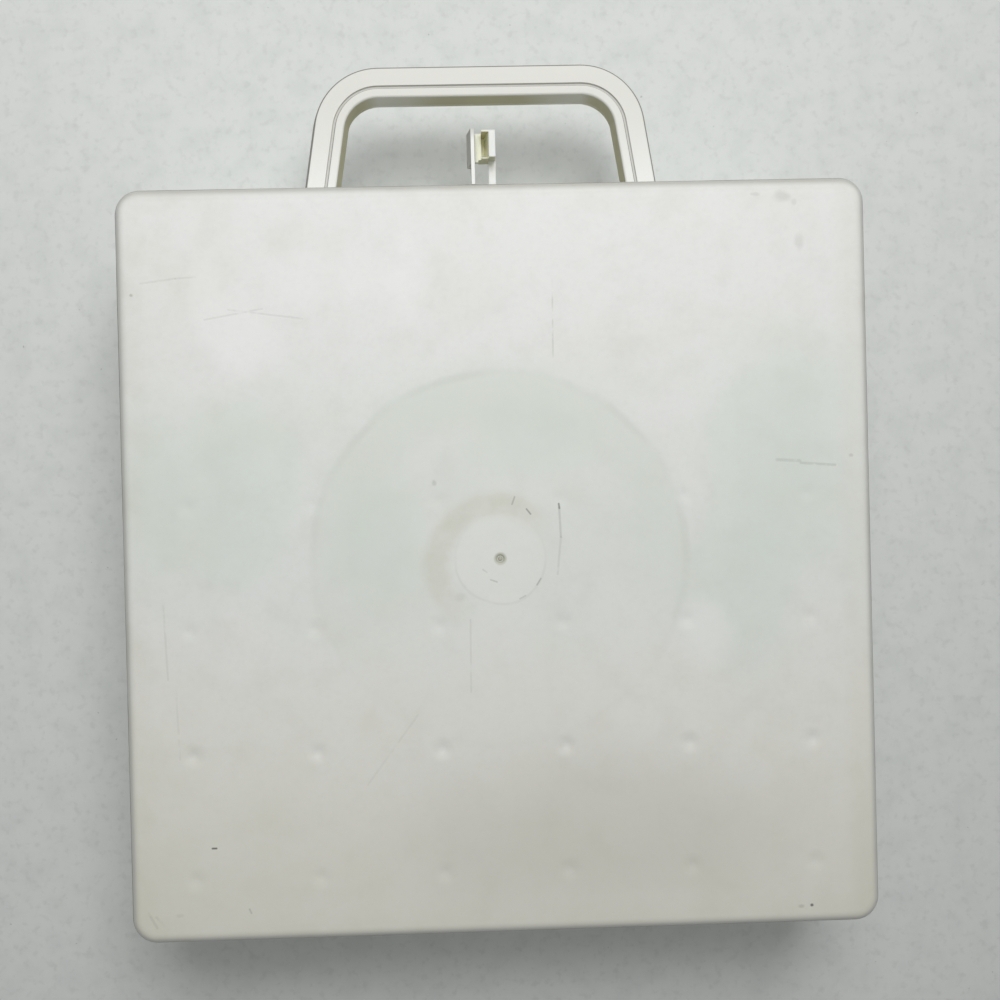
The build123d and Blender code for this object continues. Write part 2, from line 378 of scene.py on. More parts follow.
def linear(hex_colour: str) -> tuple[float, float, float, float]:
    """Turns an sRGB hex colour into linear light.

    Args:
        hex_colour: Six hex digits.
    Returns:
        Red, green, blue and an alpha of 1.
    """
    parts = [int(hex_colour[i : i + 2], 16) / 255 for i in (0, 2, 4)]
    red, green, blue = (c / 12.92 if c <= 0.04045 else ((c + 0.055) / 1.055) ** 2.4 for c in parts)
    return (red, green, blue, 1.0)


def add_node(
    tree: bpy.types.NodeTree,
    kind: str,
    settings: Optional[dict[str, object]] = None,
    inputs: Union[Sequence[Value], dict[Union[str, int], Value]] = (),
) -> bpy.types.Node:
    """Adds a shader node, with its settings and its links.

    Args:
        tree: The material's node tree.
        kind: The node's type.
        settings: Properties of the node.
        inputs: A value or a socket for the inputs in order, or for each that is named or numbered.
    Returns:
        The node.
    """
    node = tree.nodes.new(kind)
    for key, value in (settings or {}).items():
        setattr(node, key, value)
    for key, value in inputs.items() if isinstance(inputs, dict) else enumerate(inputs):
        if isinstance(value, bpy.types.NodeSocket):
            tree.links.new(value, node.inputs[key])
        else:
            node.inputs[key].default_value = value
    return node


class Surface:
    """A material in the making: a running colour, roughness and height that marks are laid over."""

    def __init__(self, name: str, colour: str, roughness: float) -> None:
        """Starts the material.

        Args:
            name: The material's name.
            colour: Its plain colour, as sRGB hex.
            roughness: Its plain roughness.
        """
        self.material = bpy.data.materials.new(name)
        self.material.use_nodes = True
        self.tree = self.material.node_tree
        self.tree.nodes.clear()
        self.shader = add_node(self.tree, "ShaderNodeBsdfPrincipled", None, {"Roughness": roughness})
        add_node(self.tree, "ShaderNodeOutputMaterial", None, {"Surface": self.shader.outputs[0]})
        own = add_node(self.tree, "ShaderNodeTexCoord").outputs
        self.normal = own["Normal"]
        in_mm = {"Vector": own["Object"], "Scale": (1 / MM,) * 3}
        self.place = add_node(self.tree, "ShaderNodeMapping", None, in_mm).outputs[0]
        self.x, self.y, self.z = add_node(self.tree, "ShaderNodeSeparateXYZ", None, (self.place,)).outputs
        lean = add_node(self.tree, "ShaderNodeSeparateXYZ", None, (self.normal,)).outputs[2]
        # 1 where the surface lies level, 0 on an upright wall
        self.level = self.distance(lean, 0.0)
        self.colour: Value = linear(colour)
        self.roughness: Value = roughness
        self.height: Value = 0.0

    def product(self, *masks: Value) -> Value:
        """The product of several masks.

        Args:
            masks: Values or sockets.
        Returns:
            The product, or the mask itself where there is only one.
        """
        result = masks[0]
        for mask in masks[1:]:
            inputs = (result, mask)
            result = add_node(self.tree, "ShaderNodeMath", {"operation": "MULTIPLY"}, inputs).outputs[0]
        return result

    def larger(self, first: Value, second: Value) -> bpy.types.NodeSocket:
        """The larger of two values."""
        return add_node(self.tree, "ShaderNodeMath", {"operation": "MAXIMUM"}, (first, second)).outputs[0]

    def less(self, value: Value, amount: Value) -> bpy.types.NodeSocket:
        """A value less an amount."""
        return add_node(self.tree, "ShaderNodeMath", {"operation": "SUBTRACT"}, (value, amount)).outputs[0]

    def more(self, value: Value, amount: Value, mask: Value) -> bpy.types.NodeSocket:
        """A value with an amount added to it, as far as the mask says."""
        inputs = (mask, amount, value)
        return add_node(self.tree, "ShaderNodeMath", {"operation": "MULTIPLY_ADD"}, inputs).outputs[0]

    def distance(self, value: Value, middle: float) -> bpy.types.NodeSocket:
        """How far a value lies from another, either way."""
        inputs = (self.less(value, middle),)
        return add_node(self.tree, "ShaderNodeMath", {"operation": "ABSOLUTE"}, inputs).outputs[0]

    def length(self, x: Value, y: Value) -> bpy.types.NodeSocket:
        """The length of a flat vector with these two parts."""
        inputs = (self.more(self.product(y, y), x, x),)
        return add_node(self.tree, "ShaderNodeMath", {"operation": "SQRT"}, inputs).outputs[0]

    def wander(self, radius: Value, noise: Value, reach: float) -> bpy.types.NodeSocket:
        """A radius that strays by up to half a reach either way, as the noise says."""
        return self.more(self.less(radius, reach / 2), reach, noise)

    def ramp(
        self, value: Value, low: float, high: float, to_low: float = 0.0, to_high: float = 1.0
    ) -> bpy.types.NodeSocket:
        """Carries a range of values smoothly to another range, and stops at its ends.

        Args:
            value: What is carried.
            low: The value at one end.
            high: The value at the other end.
            to_low: The result at the first end.
            to_high: The result at the second end.
        Returns:
            The socket with the result.
        """
        if low > high:
            low, high, to_low, to_high = high, low, to_high, to_low
        inputs = (value, low, high, to_low, to_high)
        settings = {"interpolation_type": "SMOOTHSTEP"}
        return add_node(self.tree, "ShaderNodeMapRange", settings, inputs).outputs[0]

    def band(self, value: Value, middle: float, half_width: float, soft: float) -> bpy.types.NodeSocket:
        """A mask that is 1 about one value and fades on both sides of it.

        Args:
            value: What is compared.
            middle: The value at which the mask is 1.
            half_width: How far it stays at 1.
            soft: How far it takes to fade to 0.
        Returns:
            The socket with the mask.
        """
        return self.ramp(self.distance(value, middle), half_width + soft, half_width)

    def upright(self) -> bpy.types.NodeSocket:
        """A mask that is 1 on walls and 0 on level faces."""
        return self.ramp(self.level, 0.6, 0.3)

    def noise(
        self, size: float, detail: float = 2.0, stretch: Point = (1, 1, 1), seed: float = 0.0
    ) -> bpy.types.NodeSocket:
        """Soft noise from 0 to 1, with features of about a size in millimetres.

        Args:
            size: The features' size.
            detail: How many finer layers there are.
            stretch: How many times longer the features are along X, Y and Z.
            seed: Moves the pattern, so that two of them differ.
        Returns:
            The socket with the noise.
        """
        scale = tuple(1 / (size * s) for s in stretch)
        inputs = {"Vector": self.place, "Scale": scale, "Location": (seed, seed * 0.7, seed * 0.3)}
        moved = add_node(self.tree, "ShaderNodeMapping", None, inputs).outputs[0]
        inputs = {"Vector": moved, "Scale": 1.0, "Detail": detail, "Roughness": 0.55}
        return add_node(self.tree, "ShaderNodeTexNoise", None, inputs).outputs[0]

    def facing(self, target: Point) -> bpy.types.NodeSocket:
        """How squarely the surface looks at a point.

        Args:
            target: The point, in millimetres.
        Returns:
            The socket with the result: 1 straight at the point, 0 or less past it.
        """
        inputs = (target, self.place)
        offset = add_node(self.tree, "ShaderNodeVectorMath", {"operation": "SUBTRACT"}, inputs).outputs[0]
        aim = add_node(self.tree, "ShaderNodeVectorMath", {"operation": "NORMALIZE"}, (offset,)).outputs[0]
        inputs = (aim, self.normal)
        return add_node(self.tree, "ShaderNodeVectorMath", {"operation": "DOT_PRODUCT"}, inputs).outputs[1]

    def from_line(self, start: tuple[float, float], end: tuple[float, float]) -> bpy.types.NodeSocket:
        """How far the surface lies from a straight line, seen from above.

        Args:
            start: One end of the line, along X and Y.
            end: Its other end.
        Returns:
            The socket with the distance.
        """
        origin = Vector((*start, 0))
        along = Vector((*end, 0)) - origin
        flat = add_node(self.tree, "ShaderNodeCombineXYZ", None, (self.x, self.y)).outputs[0]
        inputs = (flat, origin)
        offset = add_node(self.tree, "ShaderNodeVectorMath", {"operation": "SUBTRACT"}, inputs).outputs[0]
        inputs = (offset, along / along.length_squared)
        share = add_node(self.tree, "ShaderNodeVectorMath", {"operation": "DOT_PRODUCT"}, inputs).outputs[1]
        held = add_node(self.tree, "ShaderNodeClamp", None, (share,)).outputs[0]
        inputs = {0: along, "Scale": held}
        foot = add_node(self.tree, "ShaderNodeVectorMath", {"operation": "SCALE"}, inputs).outputs[0]
        inputs = (offset, foot)
        return add_node(self.tree, "ShaderNodeVectorMath", {"operation": "DISTANCE"}, inputs).outputs[1]

    def tint(self, colour: str, *masks: Value) -> None:
        """Blends a colour over what is there, as far as the product of the masks says."""
        inputs = {0: self.product(*masks), 6: self.colour, 7: linear(colour)}
        self.colour = add_node(self.tree, "ShaderNodeMix", {"data_type": "RGBA"}, inputs).outputs[2]

    def polish(self, amount: float, mask: Value) -> None:
        """Adds to the roughness where the mask is above 0."""
        self.roughness = self.more(self.roughness, amount, mask)

    def raise_by(self, height: float, mask: Value) -> None:
        """Raises the surface by a height in millimetres where the mask is above 0."""
        self.height = self.more(self.height, height, mask)

    def done(self, **constants: Value) -> bpy.types.Material:
        """Links the colour, roughness and height to the shader.

        Args:
            constants: Values for the shader's own sockets, with underscores for spaces.
        Returns:
            The material.
        """
        for name, value in (("Base Color", self.colour), ("Roughness", self.roughness)):
            if isinstance(value, bpy.types.NodeSocket):
                self.tree.links.new(value, self.shader.inputs[name])
            else:
                self.shader.inputs[name].default_value = value
        if isinstance(self.height, bpy.types.NodeSocket):
            inputs = {"Height": self.height, "Distance": MM}
            bump = add_node(self.tree, "ShaderNodeBump", None, inputs)
            self.tree.links.new(bump.outputs[0], self.shader.inputs["Normal"])
        for key, value in constants.items():
            self.shader.inputs[key.replace("_", " ")].default_value = value
        return self.material


@dataclass(frozen=True)
class Scratch:
    """A straight scuff on the front tray's face, from one point to another, in millimetres."""

    start: tuple[float, float]
    end: tuple[float, float]
    width: float
    strength: float
    colour: str = "7E7D77"
    broken: float = 0.4
    depth: float = 0.02


@dataclass(frozen=True)
class StainOrLightPatch:
    """A soft oval patch on the front tray's face, at a place, in millimetres: most are stains, some are
    painted highlights and one is painted shade.
    """

    centre: tuple[float, float]
    radii: tuple[float, float]
    colour: str
    strength: float


@dataclass(frozen=True)
class FlowMarks:
    """Marks that the melt left round the gate, where the old case is scratched and stained, and patches of
    painted highlight and painted shade.
    """

    heart_radius: float = 1.2
    spot_radius: float = 2.3
    disc_radius: float = 15.7
    halo_radius: float = 26.6
    halo_centre: tuple[float, float] = (-1.5, -2.2)
    front_radius: float = 66.4
    scratches: tuple[Scratch, ...] = (
        Scratch((5.6, 21.8), (4.6, 19.2), 0.3, 0.4, broken=0.3),
        Scratch((9.7, 17.4), (11.1, 15.6), 0.3, 0.55, "66655F", 0.3),
        Scratch((21.2, 19.0), (21.4, 17.4), 0.35, 0.7, "66655F", 0.2),
        Scratch((21.3, 17.6), (21.7, 7.2), 0.42, 0.26, broken=0.3),
        Scratch((21.7, 7.2), (20.2, -6.0), 0.42, 0.15, broken=0.35),
        Scratch((14.2, -7.4), (12.8, -9.6), 0.3, 0.4, broken=0.3),
        Scratch((8.6, -13.4), (6.6, -14.4), 0.3, 0.25, broken=0.3),
        Scratch((-3.6, -7.4), (-1.4, -8.2), 0.3, 0.3, broken=0.3),
        Scratch((-6.3, -3.7), (-4.9, -4.7), 0.3, 0.2, broken=0.3),
        Scratch((20.8, 101.2), (20.4, 68.2), 0.3, 0.26, "9A998F", 0.5),
        Scratch((-11.1, -21.4), (-11.5, -47.0), 0.35, 0.15, "97968C"),
        Scratch((-124.3, 99.9), (-112.1, 101.4), 0.35, 0.12, "8C8C84", 0.4),
        Scratch((-112.1, 101.4), (-105.1, 101.8), 0.35, 0.12, "8C8C84", 0.4),
        Scratch((-102.3, 86.7), (-81.9, 90.2), 0.35, 0.14, "8C8C84"),
        Scratch((-93.8, 90.1), (-67.9, 86.4), 0.35, 0.14, "8C8C84"),
        Scratch((99.5, 32.7), (107.6, 32.2), 0.6, 0.2, "85877F", 0.4),
        Scratch((108.0, 31.4), (120.3, 30.4), 0.5, 0.22, "85877F", 0.45),
        Scratch((-30.5, -54.6), (-48.8, -78.9), 0.4, 0.09, "8F8E84"),
        Scratch((-119.2, -13.6), (-118.2, -39.7), 0.4, 0.14, "97968C", 0.4),
        Scratch((-115.5, -43.3), (-114.7, -68.0), 0.4, 0.1, "97968C", 0.45),
        Scratch((-104.1, -99.7), (-102.7, -99.7), 0.35, 0.8, "4A4845", 0.0),
        Scratch((-91.6, -121.6), (-91.0, -123.0), 0.35, 0.3, broken=0.3),
        Scratch((-127.2, -121.8), (-124.2, -127.2), 0.5, 0.16, broken=0.45),
        Scratch((-124.4, -123.4), (-120.2, -128.0), 0.5, 0.13, broken=0.45),
    )
    stains_and_light_patches: tuple[StainOrLightPatch, ...] = (
        StainOrLightPatch((-91.0, 24.0), (34.0, 46.0), "CDDBCE", 0.42),
        StainOrLightPatch((-121.0, 24.0), (16.0, 42.0), "CDDBCE", 0.3),
        StainOrLightPatch((102.0, 36.0), (36.0, 58.0), "CDDBCE", 0.44),
        StainOrLightPatch((86.0, -16.0), (28.0, 42.0), "CDDBCE", 0.34),
        StainOrLightPatch((14.0, 42.0), (30.0, 18.0), "CDDBCE", 0.34),
        StainOrLightPatch((-42.0, 8.0), (24.0, 34.0), "CDDBCE", 0.38),
        StainOrLightPatch((103.4, 126.5), (4.0, 3.0), "9C9B93", 0.24),
        StainOrLightPatch((93.8, 127.4), (2.6, 1.0), "9C9B93", 0.2),
        StainOrLightPatch((107.7, 124.4), (1.5, 1.8), "9C9B93", 0.18),
        StainOrLightPatch((109.2, 110.4), (2.4, 4.2), "A3A39B", 0.22),
        StainOrLightPatch((-127.6, 95.9), (0.9, 0.8), "8A897F", 0.45),
        StainOrLightPatch((-22.8, 27.4), (1.2, 1.6), "8F8F88", 0.3),
        StainOrLightPatch((-14.3, -13.2), (2.8, 2.2), "A5A599", 0.16),
        StainOrLightPatch((126.1, 33.8), (1.2, 0.9), "9A998F", 0.3),
        # painted shade: a broad darker patch over the face's lower middle
        StainOrLightPatch((28.0, -98.0), (100.0, 44.0), "BDBCB0", 0.3),
        # painted highlights: pale patches where light glances off the face
        StainOrLightPatch((73.4, -27.3), (13.0, 18.0), "F8F7F5", 0.24),
        StainOrLightPatch((-101.8, 93.8), (9.0, 19.0), "F8F7F8", 0.2),
        StainOrLightPatch((-88.1, 79.4), (19.0, 24.0), "F8F7F8", 0.26),
        StainOrLightPatch((-61.2, 100.0), (34.0, 14.0), "F8F7F8", 0.2),
        StainOrLightPatch((-31.3, 99.4), (11.0, 22.0), "F8F7F8", 0.2),
        StainOrLightPatch((108.4, -126.6), (0.9, 0.8), "55524C", 0.85),
        StainOrLightPatch((104.6, -126.9), (1.6, 0.9), "8C8A80", 0.3),
        StainOrLightPatch((-116.1, -123.1), (2.2, 1.0), "9A978A", 0.16),
    )


@dataclass(frozen=True)
class LatchPlaces:
    """Where the catch's pocket and the hook's finger lie, in millimetres."""

    pocket_left: float = -2.1
    pocket_right: float = 0.6
    catch_near_y: float = 150.8
    catch_height: float = 43.6
    finger_left: float = -6.3
    finger_tip_y: float = 161.6


@dataclass(frozen=True)
class HandlePlaces:
    """Where the hand goes through the carry handle, and its groove's floor, in millimetres."""

    hand: Point = (-2.6, 155.0, 44.5)
    groove_height: float = 7.2


@dataclass(frozen=True)
class MouldedPolypropylene:
    """Moulded polypropylene: waxy and slightly translucent, with the satin of an etched mould."""

    colour: str = "E6E7E4"
    roughness: float = 0.46
    cloud_size: float = 30.0
    etch_size: float = 0.9
    etch_height: float = 0.004
    sag_size: float = 38.0
    sag_height: float = 0.05
    face_z: float = 89.0
    face_flat_reach: float = 127.3
    face_corner_radius: float = 5.0

    def start(self, name: str) -> Surface:
        """The plain plastic, with its faint cloudiness, etched grain and slight sag.

        Args:
            name: The material's name.
        Returns:
            The surface, ready for more marks.
        """
        surface = Surface(name, self.colour, self.roughness)
        # the melt's cloudiness: the eye reads plastic that has aged, not fresh paint
        surface.tint("DEDED4", surface.ramp(surface.noise(self.cloud_size, 3.0), 0.45, 0.75, 0.0, 0.35))
        # sag between the pegs bends highlights a little, as thin moulded walls do
        surface.raise_by(self.sag_height, surface.noise(self.sag_size, 1.0, seed=3.0))
        # the mould's etched grain turns a mirror into a satin
        surface.raise_by(self.etch_height, surface.noise(self.etch_size, 2.0, seed=5.0))
        surface.polish(0.08, surface.noise(12.0, 2.0, seed=7.0))
        return surface

    @staticmethod
    def close(surface: Surface, glow: float = 0.12, reach: float = 1.2) -> bpy.types.Material:
        """Sets the shader's own values for waxy polypropylene, and links the rest.

        Args:
            surface: The surface.
            glow: The share of light that goes through the plastic.
            reach: How far it goes, in millimetres.
        Returns:
            The material.
        """
        return surface.done(
            IOR=1.49,
            Subsurface_Weight=glow,
            Subsurface_Radius=(1.0, 0.9, 0.7),
            Subsurface_Scale=reach * MM,
        )

    def build(self, name: str) -> bpy.types.Material:
        """The material of the smaller pieces and the back tray."""
        return self.close(self.start(name))

    def build_handle(self, name: str, places: HandlePlaces) -> bpy.types.Material:
        """The carry handle's material, with painted shade on its walls, its bar, its outer edge and its
        groove.

        Args:
            name: The material's name.
            places: Where the hand and the groove's floor are.
        Returns:
            The material.
        """
        surface = self.start(name)
        _, hand_y, seam = places.hand
        to_hand = surface.facing(places.hand)
        # painted shade on the upright walls: strongest on those round the fingers' gap, weaker on the outer
        # ones
        shade_towards_gap = surface.ramp(to_hand, -0.3, 0.3, 0.25, 1.0)
        surface.tint("A3A298", surface.upright(), shade_towards_gap, 0.7)
        # painted shade: the bar is darkened more than the legs, and the whole handle is made a little darker
        # than the trays' plastic
        surface.tint("D3D2CA", surface.ramp(surface.y, hand_y - 20.0, hand_y + 22.0), 0.6)
        surface.tint("D3D2CA", 0.22)
        # painted shade: a thin dark line where the outer face turns into the outer wall, which lies in shade
        turned = surface.ramp(surface.level, 0.995, 0.85)
        surface.tint("5C5A52", turned, surface.ramp(to_hand, 0.0, -0.3), 0.8)
        # painted shade: the walls round the fingers' gap, below the groove, are darkened to an olive, so that
        # the bar reads as a deep section
        height = surface.distance(surface.z, seam)
        below_groove = surface.ramp(height, places.groove_height + 0.05, places.groove_height - 0.25)
        surface.tint("ACA883", surface.ramp(to_hand, 0.35, 0.75), below_groove, 0.85)
        # painted shade on the groove's floor
        at_floor = surface.band(height, places.groove_height, 0.1, 0.3)
        surface.tint("B4B3AC", at_floor, surface.ramp(surface.level, 0.9, 0.97), 0.6)
        return self.close(surface)

    def build_hook(self, name: str, latch: LatchPlaces) -> bpy.types.Material:
        """The latch hook's material, with painted shade on its upright walls, its thumb pad and its finger's
        tip.

        Args:
            name: The material's name.
            latch: Where the finger and its tip are.
        Returns:
            The material.
        """
        surface = self.start(name)
        # painted shade on the upright walls, which face away from the light
        surface.tint("A3A298", surface.upright(), 0.7)
        # painted shade on the thumb pad beside the finger
        pad = surface.ramp(surface.x, latch.finger_left - 0.05, latch.finger_left - 0.2)
        surface.tint("A9A9A4", pad, 0.3)
        # painted shade on the finger's sloping tip
        tip = surface.ramp(surface.y, latch.finger_tip_y - 6.0, latch.finger_tip_y)
        surface.tint("A8A8A0", tip, 0.5)
        return self.close(surface)

    def build_catch(self, name: str, latch: LatchPlaces) -> bpy.types.Material:
        """The catch's material, with painted light in its pocket and on its lip, and painted shade on its
        head's near end.

        Args:
            name: The material's name.
            latch: Where the pocket and the lip are.
        Returns:
            The material.
        """
        surface = self.start(name)
        head = surface.ramp(surface.y, latch.catch_near_y - 1.0, latch.catch_near_y - 0.8)
        before_wall = surface.ramp(surface.x, latch.pocket_right + 0.1, latch.pocket_right - 0.1)
        past_lip = surface.ramp(surface.x, latch.pocket_left - 0.1, latch.pocket_left + 0.1)
        # painted light: the pocket and the lip past it are lightened and warmed, where the head's walls would
        # shade them
        surface.tint("EDEDD3", head, before_wall, 0.9)
        surface.tint("F7F6DF", head, past_lip, before_wall, 0.95)
        # painted shade on the head's near end, which faces away from the light
        near_end = surface.ramp(surface.facing((0.0, -2000.0, latch.catch_height)), 0.5, 0.8)
        surface.tint("A6A582", head, near_end, 0.85)
        # light comes through the thin walls of the cored head and keeps its pocket bright
        return self.close(surface, 0.7, 3.0)

    def build_face(self, name: str, marks: FlowMarks) -> bpy.types.Material:
        """The front tray's material, with the marks on its face.

        Args:
            name: The material's name.
            marks: The melt's rings, scratches and stains.
        Returns:
            The material.
        """
        surface = self.start(name)
        on_face = surface.ramp(surface.z, self.face_z - 1.2, self.face_z - 0.2)
        # faint smudges and grain, so that the face isn't an even white
        surface.tint("CFCFC6", surface.ramp(surface.noise(13.0, 4.0, seed=31.0), 0.45, 0.75), 0.22)
        surface.tint("C6C6BE", surface.ramp(surface.noise(2.0, 2.0, seed=37.0), 0.4, 0.8), 0.1)
        wobble = surface.noise(24.0, 2.0, seed=11.0)
        radius = surface.length(surface.x, surface.y)
        self.lay_front(surface, marks, on_face, radius, wobble)
        self.lay_gate(surface, marks, on_face, radius, wobble)
        self.lay_grime_and_low_shade(surface, on_face)
        self.lay_edge_shade(surface)
        for stain_or_light_patch in marks.stains_and_light_patches:
            self.lay_stain_or_light_patch(surface, stain_or_light_patch, on_face)
        for scratch in marks.scratches:
            self.lay_scratch(surface, scratch, on_face)
        return self.close(surface)

    @staticmethod
    def lay_front(surface: Surface, marks: FlowMarks, on_face: Value, radius: Value, wobble: Value) -> None:
        """Lays the wide greenish field that the melt filled first, and the line where it slowed.

        Args:
            surface: The surface.
            marks: The rings' sizes.
            on_face: A mask that is 1 on the face.
            radius: The distance from the gate.
            wobble: Wide noise that bends the rings.
        """
        ragged = surface.more(surface.wander(radius, wobble, 4.0), 5.0, surface.noise(9.0, 3.0, seed=23.0))
        front = surface.band(ragged, marks.front_radius - 5.0, 2.5, 14.0)
        surface.tint("CBD5C9", front, surface.ramp(surface.y, -30.0, 45.0), on_face, 0.32)
        within = surface.ramp(ragged, marks.front_radius + 4.5, marks.front_radius + 1.0)
        surface.tint("D8DDD4", within, on_face, surface.ramp(surface.y, -50.0, 30.0, 0.14, 0.36))
        across = surface.band(surface.y, 18.0, 30.0, 40.0)
        clouds = surface.ramp(surface.noise(34.0, 2.0), 0.38, 0.6, 0.15, 1.0)
        surface.tint("CFDACF", across, clouds, on_face, 0.16)
        line = surface.band(surface.wander(radius, wobble, 2.4), marks.front_radius, 0.3, 2.0)
        fading = surface.ramp(surface.y, -50.0, 10.0, 0.3, 1.0)
        surface.tint("B9BEB2", line, on_face, surface.ramp(wobble, 0.3, 0.7), fading, 0.2)

    @staticmethod
    def lay_gate(surface: Surface, marks: FlowMarks, on_face: Value, radius: Value, wobble: Value) -> None:
        """Lays the rings about the gate: the yellow halo, the pale disc with its rim, and the spot.

        Args:
            surface: The surface.
            marks: The rings' sizes.
            on_face: A mask that is 1 on the face.
            radius: The distance from the gate.
            wobble: Wide noise that bends the rings.
        """
        side = surface.ramp(surface.less(surface.y, surface.x), -24.0, 28.0)
        halo_x, halo_y = marks.halo_centre
        off_centre = surface.length(surface.less(surface.x, halo_x), surface.less(surface.y, halo_y))
        halo_middle = (marks.disc_radius + marks.halo_radius) / 2
        halo = surface.band(surface.wander(off_centre, wobble, 2.4), halo_middle, 1.6, 5.0)
        patchy = surface.ramp(surface.noise(6.0, 3.0, seed=29.0), 0.3, 0.7, 0.55, 1.0)
        surface.tint("BDB99C", halo, side, patchy, on_face, 0.34)
        bent = surface.wander(radius, wobble, 2.4)
        disc = surface.ramp(bent, marks.disc_radius + 1.0, marks.disc_radius - 1.0)
        surface.tint("E9E9E4", disc, on_face, 0.22)
        rim = surface.band(bent, marks.disc_radius + 0.4, 0.1, 0.6)
        surface.tint("9FA097", rim, on_face, surface.ramp(surface.y, 16.0, -12.0), patchy, 0.14)
        spot = surface.ramp(radius, marks.spot_radius + 0.4, marks.spot_radius - 0.6)
        surface.tint("B6B7A4", spot, on_face, 0.7)
        heart = surface.ramp(radius, marks.heart_radius, marks.heart_radius - 0.7)
        surface.tint("A9A994", heart, on_face, 0.6)

    def lay_grime_and_low_shade(self, surface: Surface, on_face: Value) -> None:
        """Lays years of handling along the face's lower and left edges and in its corners, the plastic's
        yellowing, and painted shade over the face's lower half.

        Args:
            surface: The surface.
            on_face: A mask that is 1 on the face.
        """
        core = self.face_flat_reach - self.face_corner_radius
        beyond = [
            surface.larger(surface.less(surface.distance(axis, 0.0), core), 0.0)
            for axis in (surface.x, surface.y)
        ]
        past_edge = surface.less(surface.length(*beyond), self.face_corner_radius)
        patchy = surface.ramp(surface.noise(14.0, 4.0, seed=17.0), 0.3, 0.7, 0.35, 1.0)
        low = surface.ramp(surface.y, -60.0, -124.0)
        left = surface.ramp(surface.x, -90.0, -126.0)
        smear = surface.ramp(past_edge, -9.0, 1.0)
        surface.tint("BDB9A2", smear, patchy, surface.larger(low, left), on_face, 0.18)
        corner = surface.ramp(surface.distance(surface.x, 0.0), 105.0, 128.0)
        surface.tint("ABA589", corner, low, smear, on_face, 0.06)
        # the plastic has yellowed from the lower left
        aged = surface.product(surface.ramp(surface.x, -20.0, -110.0), surface.ramp(surface.y, -10.0, -110.0))
        surface.tint("D2D4BC", aged, patchy, on_face, 0.2)
        # painted shade: the face darkens towards its bottom
        surface.tint("D2D1C2", low, on_face, 0.3)
        surface.tint("DEDDCB", surface.ramp(surface.y, -10.0, -60.0), on_face, 0.25)
        # the plastic has yellowed along the right edge too
        surface.tint("CBC9AE", surface.ramp(surface.x, 119.0, 127.0), on_face, 0.13)

    def lay_edge_shade(self, surface: Surface) -> None:
        """Lays painted shade on the rounded edge where it turns into the wall, darkest at the turn.

        Args:
            surface: The surface.
        """
        patchy = surface.ramp(surface.noise(14.0, 4.0, seed=17.0), 0.3, 0.7, 0.35, 1.0)
        # painted shade on the rounded edge, where it turns away from the light
        shoulder = surface.ramp(surface.z, self.face_z - 5.4, self.face_z - 3.6)
        surface.tint("8C8A7C", surface.ramp(surface.level, 0.995, 0.7), shoulder, 0.38)
        # painted shade, darkest at the turn itself, so that the face has a thin outline from above
        turn = surface.ramp(surface.z, self.face_z - 3.6, self.face_z - 2.6)
        surface.tint("46443C", surface.upright(), turn, patchy, 0.8)
        # painted shade on the shoulder along the top edge
        surface.tint("A09E92", surface.ramp(surface.y, 128.0, 131.5), shoulder, 0.22)

    @staticmethod
    def lay_stain_or_light_patch(surface: Surface, stain_or_light_patch: StainOrLightPatch, on_face: Value) -> None:
        """Tints an oval patch with a ragged edge.

        Args:
            surface: The surface.
            stain_or_light_patch: The patch.
            on_face: A mask that is 1 on the face.
        """
        parts = [
            surface.more(-middle / reach, 1 / reach, axis)
            for axis, middle, reach in zip((surface.x, surface.y), stain_or_light_patch.centre, stain_or_light_patch.radii)
        ]
        ragged = surface.noise(min(stain_or_light_patch.radii), 2.0, seed=19.0)
        away = surface.wander(surface.length(*parts), ragged, 0.5)
        surface.tint(stain_or_light_patch.colour, surface.ramp(away, 1.0, 0.25), on_face, stain_or_light_patch.strength)

    @staticmethod
    def lay_scratch(surface: Surface, scratch: Scratch, on_face: Value) -> None:
        """Tints and lowers the surface along one scratch.

        Args:
            surface: The surface.
            scratch: Where the scratch runs and how strong it is.
            on_face: A mask that is 1 on the face.
        """
        away = surface.from_line(scratch.start, scratch.end)
        line = surface.ramp(away, scratch.width * 1.4, scratch.width * 0.4)
        broken = surface.ramp(surface.noise(5.0, 2.0, seed=13.0), scratch.broken - 0.1, scratch.broken + 0.1)
        mask = surface.product(line, broken, on_face)
        surface.tint(scratch.colour, mask, scratch.strength)
        surface.raise_by(-scratch.depth, mask)


@dataclass(frozen=True)
class DrawnSteel:
    """Drawn steel wire.

    The die that the wire was drawn through leaves fine lines along it, so the eye sees a grey metal
    whose highlight is stretched round the pin and a little broken, and no mirror.
    """

    colour: str = "B9BABB"
    roughness: float = 0.3

    def build(self, name: str) -> bpy.types.Material:
        """The pins' material.

        Args:
            name: The material's name.
        Returns:
            The material.
        """
        surface = Surface(name, self.colour, self.roughness)
        lines = surface.noise(0.35, 2.0, (14.0, 1.0, 1.0))
        surface.tint("8F9092", surface.ramp(lines, 0.4, 0.7, 0.0, 0.6))
        surface.polish(0.2, lines)
        surface.raise_by(0.004, lines)
        return surface.done(Metallic=1.0)


